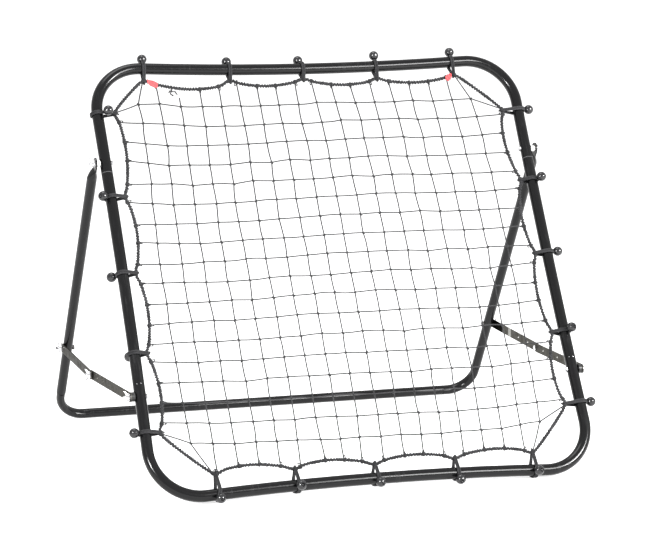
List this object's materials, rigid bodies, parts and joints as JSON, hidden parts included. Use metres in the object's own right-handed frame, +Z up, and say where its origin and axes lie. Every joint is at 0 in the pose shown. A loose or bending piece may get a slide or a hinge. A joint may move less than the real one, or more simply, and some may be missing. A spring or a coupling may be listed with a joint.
{
  "type": "tennis rebound net",
  "caption": "Portable tennis rebound net: a tilted round-cornered tube frame with a square mesh on bungee ties, propped by a folding rear tube support and side straps.",
  "frame": {"origin": "middle of the footprint, on the ground", "axes": "+Z up, the net faces -Y and leans back towards +Y, +X to the right seen from the front"},
  "size_m": [1.0768, 0.8279, 0.8652],
  "materials": {
    "black_tube": "black powder coat, satin",
    "strap_zinc": "dull zinc plate",
    "bright_zinc": "bright zinc plate",
    "dark_bolt": "blackened steel",
    "white_plastic": "smooth",
    "black_plastic": "smooth",
    "ball_plastic": "moulded, half gloss",
    "net_twine": "knotted black twine",
    "rope_cord": "laid black cord",
    "bungee_cord": "braided black cover over elastic",
    "tag_cloth": "plain red cloth"
  },
  "bodies": {
    "front_frame": {"frame_top_tube": "black_tube", "frame_bottom_tube": "black_tube", "frame_left_tube": "black_tube", "frame_right_tube": "black_tube", "net": "net_twine", "border_rope": "rope_cord", "bungee_cords_top": "bungee_cord", "bungee_cords_bottom": "bungee_cord", "bungee_cords_left": "bungee_cord", "bungee_cords_right": "bungee_cord", "bungee_balls_top": "ball_plastic", "bungee_balls_bottom": "ball_plastic", "bungee_balls_left": "ball_plastic", "bungee_balls_right": "ball_plastic", "left_corner_tag": "tag_cloth", "right_corner_tag": "tag_cloth", "pivot_bolts": "bright_zinc", "pivot_washers": "bright_zinc", "pivot_spacers": "white_plastic", "brace_front_bolts": "bright_zinc", "brace_front_washers": "bright_zinc", "brace_spacers": "black_plastic"},
    "rear_support": {"rear_left_tube": "black_tube", "rear_right_tube": "black_tube", "brace_rear_bolts": "dark_bolt", "brace_rear_washers": "bright_zinc"},
    "left_front_brace": {"left_front_strap": "strap_zinc", "left_knee_bolt_head": "bright_zinc"},
    "left_rear_brace": {"left_rear_strap": "strap_zinc", "left_knee_bolt_end": "bright_zinc", "left_knee_washer": "bright_zinc"},
    "left_pivot_nut": {"left_pivot_wing_nut": "bright_zinc"},
    "left_brace_front_nut": {"left_brace_front_wing_nut": "bright_zinc"},
    "left_brace_rear_nut": {"left_brace_rear_wing_nut": "bright_zinc"},
    "left_knee_nut": {"left_knee_wing_nut": "bright_zinc"},
    "right_front_brace": {"right_front_strap": "strap_zinc", "right_knee_bolt_head": "bright_zinc"},
    "right_rear_brace": {"right_rear_strap": "strap_zinc", "right_knee_bolt_end": "bright_zinc", "right_knee_washer": "bright_zinc"},
    "right_pivot_nut": {"right_pivot_wing_nut": "bright_zinc"},
    "right_brace_front_nut": {"right_brace_front_wing_nut": "bright_zinc"},
    "right_brace_rear_nut": {"right_brace_rear_wing_nut": "bright_zinc"},
    "right_knee_nut": {"right_knee_wing_nut": "bright_zinc"}
  },
  "joints": [
    {"name": "support_fold", "type": "hinge", "parent": "front_frame", "child": "rear_support", "pos_m": [0, 0.03871, 0.64845], "axis": [1, 0, 0], "range_deg": [-49, 0]},
    {"name": "left_front_brace_swing", "type": "hinge", "parent": "front_frame", "child": "left_front_brace", "pos_m": [-0.5077, -0.25442, 0.20389], "axis": [1, 0, 0], "range_deg": [-92.8, 0]},
    {"name": "left_rear_brace_swing", "type": "hinge", "parent": "rear_support", "child": "left_rear_brace", "pos_m": [-0.52337, 0.29899, 0.19251], "axis": [1, 0, 0], "range_deg": [0, 106]},
    {"name": "left_pivot_nut_turn", "type": "hinge", "parent": "front_frame", "child": "left_pivot_nut", "pos_m": [-0.5142, 0.03871, 0.64845], "axis": [1, 0, 0], "continuous": true},
    {"name": "left_brace_front_nut_turn", "type": "hinge", "parent": "front_frame", "child": "left_brace_front_nut", "pos_m": [-0.5134, -0.25442, 0.20389], "axis": [1, 0, 0], "continuous": true},
    {"name": "left_brace_rear_nut_turn", "type": "hinge", "parent": "rear_support", "child": "left_brace_rear_nut", "pos_m": [-0.529, 0.29899, 0.19251], "axis": [1, 0, 0], "continuous": true},
    {"name": "left_knee_nut_turn", "type": "hinge", "parent": "left_rear_brace", "child": "left_knee_nut", "pos_m": [-0.529, 0.02674, 0.1901], "axis": [1, 0, 0], "continuous": true},
    {"name": "right_front_brace_swing", "type": "hinge", "parent": "front_frame", "child": "right_front_brace", "pos_m": [0.5077, -0.25442, 0.20389], "axis": [1, 0, 0], "range_deg": [-92.8, 0]},
    {"name": "right_rear_brace_swing", "type": "hinge", "parent": "rear_support", "child": "right_rear_brace", "pos_m": [0.52337, 0.29899, 0.19251], "axis": [1, 0, 0], "range_deg": [0, 106]},
    {"name": "right_pivot_nut_turn", "type": "hinge", "parent": "front_frame", "child": "right_pivot_nut", "pos_m": [0.5142, 0.03871, 0.64845], "axis": [1, 0, 0], "continuous": true},
    {"name": "right_brace_front_nut_turn", "type": "hinge", "parent": "front_frame", "child": "right_brace_front_nut", "pos_m": [0.5134, -0.25442, 0.20389], "axis": [1, 0, 0], "continuous": true},
    {"name": "right_brace_rear_nut_turn", "type": "hinge", "parent": "rear_support", "child": "right_brace_rear_nut", "pos_m": [0.529, 0.29899, 0.19251], "axis": [1, 0, 0], "continuous": true},
    {"name": "right_knee_nut_turn", "type": "hinge", "parent": "right_rear_brace", "child": "right_knee_nut", "pos_m": [0.529, 0.02674, 0.1901], "axis": [1, 0, 0], "continuous": true}
  ],
  "couplings": [
    {"joint": "left_front_brace_swing", "follows": "support_fold", "ratio": 1.8902},
    {"joint": "left_rear_brace_swing", "follows": "support_fold", "ratio": -2.1593},
    {"joint": "right_front_brace_swing", "follows": "support_fold", "ratio": 1.8902},
    {"joint": "right_rear_brace_swing", "follows": "support_fold", "ratio": -2.1593}
  ]
}
